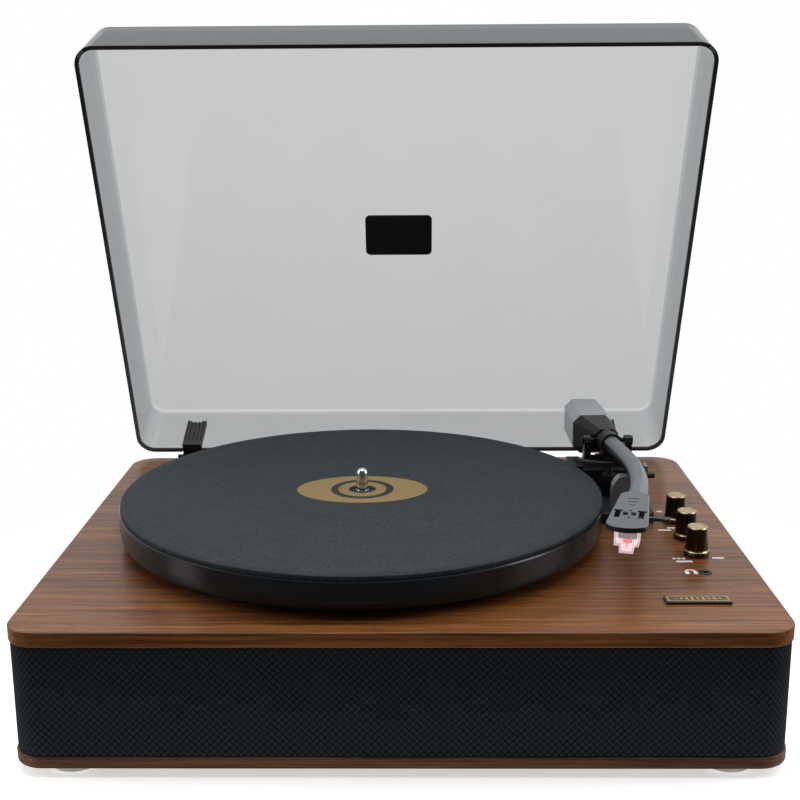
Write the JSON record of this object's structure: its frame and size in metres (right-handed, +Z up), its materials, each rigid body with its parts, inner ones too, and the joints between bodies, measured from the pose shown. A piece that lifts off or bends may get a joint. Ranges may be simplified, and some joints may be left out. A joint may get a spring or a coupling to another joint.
{
  "type": "record player",
  "caption": "Belt-driven record player in a wooden plinth with front speakers behind cloth, a bent tonearm and a hinged tinted dust cover.",
  "frame": {"origin": "middle of the plinth in plan, on the surface its feet stand on", "axes": "+X to the right, +Y to the back where the cover is hinged, +Z up"},
  "size_m": [0.4026, 0.3696, 0.3873],
  "materials": {
    "walnut": "satin walnut veneer",
    "black_board": "black painted fibreboard",
    "speaker_cloth": "basket-weave speaker cloth",
    "rubber": "matte black",
    "foot_rubber": "pale grey",
    "bumper_rubber": "translucent grey",
    "zinc_steel": "zinc plated",
    "spindle_steel": "polished",
    "pressed_steel": "black",
    "cone_paper": "pressed paper",
    "magnet": "ferrite",
    "black_plastic": "moulded",
    "circuit": "board with components",
    "nickel": "nickel plated",
    "bearing_brass": "turned",
    "badge": "black with gold relief",
    "platter_gloss": "high gloss black",
    "felt": "dark grey felt with gold print",
    "smoked_cover": "smoke tinted, clear",
    "bronze": "dark bronze, bright bevels",
    "arm_grey": "satin grey",
    "arm_dark": "satin dark grey",
    "weight_grey": "satin light grey",
    "stylus_red": "red",
    "guard_clear": "milky clear"
  },
  "bodies": {
    "plinth": {"top_board": "walnut", "bottom_board": "walnut", "base_screws": "zinc_steel", "front_baffle": "black_board", "side_wall_left": "black_board", "side_wall_right": "black_board", "rear_panel": "black_board", "speaker_cloth": "speaker_cloth", "feet": "foot_rubber", "speaker_frame_left": "pressed_steel", "speaker_cone_left": "cone_paper", "speaker_frame_right": "pressed_steel", "speaker_cone_right": "cone_paper", "speaker_magnets": "magnet", "speaker_screws": "zinc_steel", "connector_plate": "black_plastic", "rca_jacks": "nickel", "aux_jack": "black_plastic", "dc_inlet": "black_plastic", "rear_screws": "zinc_steel", "circuit_board": "circuit", "volume_pot": "black_plastic", "rotary_switches": "black_plastic", "headphone_jack": "black_plastic", "name_badge": "badge", "bearing_housing": "bearing_brass", "motor": "zinc_steel", "motor_bushes": "rubber", "drive_belt": "rubber", "hinge_base_left": "pressed_steel", "hinge_base_right": "pressed_steel", "hinge_pins": "zinc_steel", "tonearm_base": "black_plastic", "arm_pivot_post": "zinc_steel", "arm_rest": "arm_grey"},
    "turntable": {"platter": "platter_gloss", "slipmat": "felt", "spindle": "spindle_steel"},
    "motor_rotor": {"motor_pulley": "zinc_steel"},
    "volume_control": {"volume_knob": "bronze"},
    "source_control": {"source_knob": "bronze"},
    "speed_control": {"speed_knob": "bronze"},
    "cover": {"dust_cover": "smoked_cover", "cover_plate": "black_plastic", "cover_bumpers": "bumper_rubber", "hinge_leaf_left": "black_plastic", "hinge_leaf_right": "black_plastic"},
    "arm_bearing": {"arm_yoke": "black_plastic", "pivot_screws": "zinc_steel"},
    "arm": {"arm_tube": "arm_grey", "arm_housing": "arm_dark", "counterweight": "weight_grey", "headshell": "arm_grey", "finger_lift": "arm_dark", "cartridge": "black_plastic", "stylus": "stylus_red", "headshell_screws": "zinc_steel"},
    "guard": {"stylus_guard": "guard_clear"},
    "cue_platform": {"cue_lift": "black_plastic"},
    "cue_handle": {"cue_lever": "black_plastic"}
  },
  "joints": [
    {"name": "lid_hinge", "type": "hinge", "parent": "plinth", "child": "cover", "pos_m": [-0.00306, 0.16265, 0.07915], "axis": [-1, 0, 0], "range_deg": [-68, 0]},
    {"name": "platter_spin", "type": "hinge", "parent": "plinth", "child": "turntable", "pos_m": [-0.0247, 0.0028, 0.09], "axis": [0, 0, -1], "continuous": true},
    {"name": "motor_spin", "type": "hinge", "parent": "plinth", "child": "motor_rotor", "pos_m": [-0.09187, 0.06997, 0.09], "axis": [0, 0, -1], "continuous": true},
    {"name": "volume_turn", "type": "hinge", "parent": "plinth", "child": "volume_control", "pos_m": [0.17235, -0.0488, 0.088], "axis": [0, 0, -1], "range_deg": [0, 300]},
    {"name": "source_turn", "type": "hinge", "parent": "plinth", "child": "source_control", "pos_m": [0.17235, -0.02, 0.088], "axis": [0, 0, -1], "range_deg": [0, 90]},
    {"name": "speed_turn", "type": "hinge", "parent": "plinth", "child": "speed_control", "pos_m": [0.17235, 0.011, 0.088], "axis": [0, 0, -1], "range_deg": [-45, 45]},
    {"name": "arm_swing", "type": "hinge", "parent": "plinth", "child": "arm_bearing", "pos_m": [0.1385, 0.079, 0.105], "axis": [0, 0, -1], "range_deg": [0, 45]},
    {"name": "arm_lift", "type": "hinge", "parent": "arm_bearing", "child": "arm", "pos_m": [0.1385, 0.079, 0.115], "axis": [-1, 0, 0], "range_deg": [0, 8]},
    {"name": "guard_pull", "type": "slide", "parent": "arm", "child": "guard", "axis": [-0.2504, -0.9681, 0], "range_m": [0, 0.02]},
    {"name": "cue_lift_rise", "type": "slide", "parent": "plinth", "child": "cue_platform", "axis": [0, 0, 1], "range_m": [0, 0.0045]},
    {"name": "cue_lever_tilt", "type": "hinge", "parent": "plinth", "child": "cue_handle", "pos_m": [0.157, 0.05, 0.0937], "axis": [1, 0, 0], "range_deg": [0, 60.1]}
  ],
  "couplings": [
    {"joint": "motor_spin", "follows": "platter_spin", "ratio": 13.2},
    {"joint": "cue_lift_rise", "follows": "arm_lift", "m_per_rad": 0.032},
    {"joint": "cue_lever_tilt", "follows": "arm_lift", "ratio": 7.5}
  ]
}
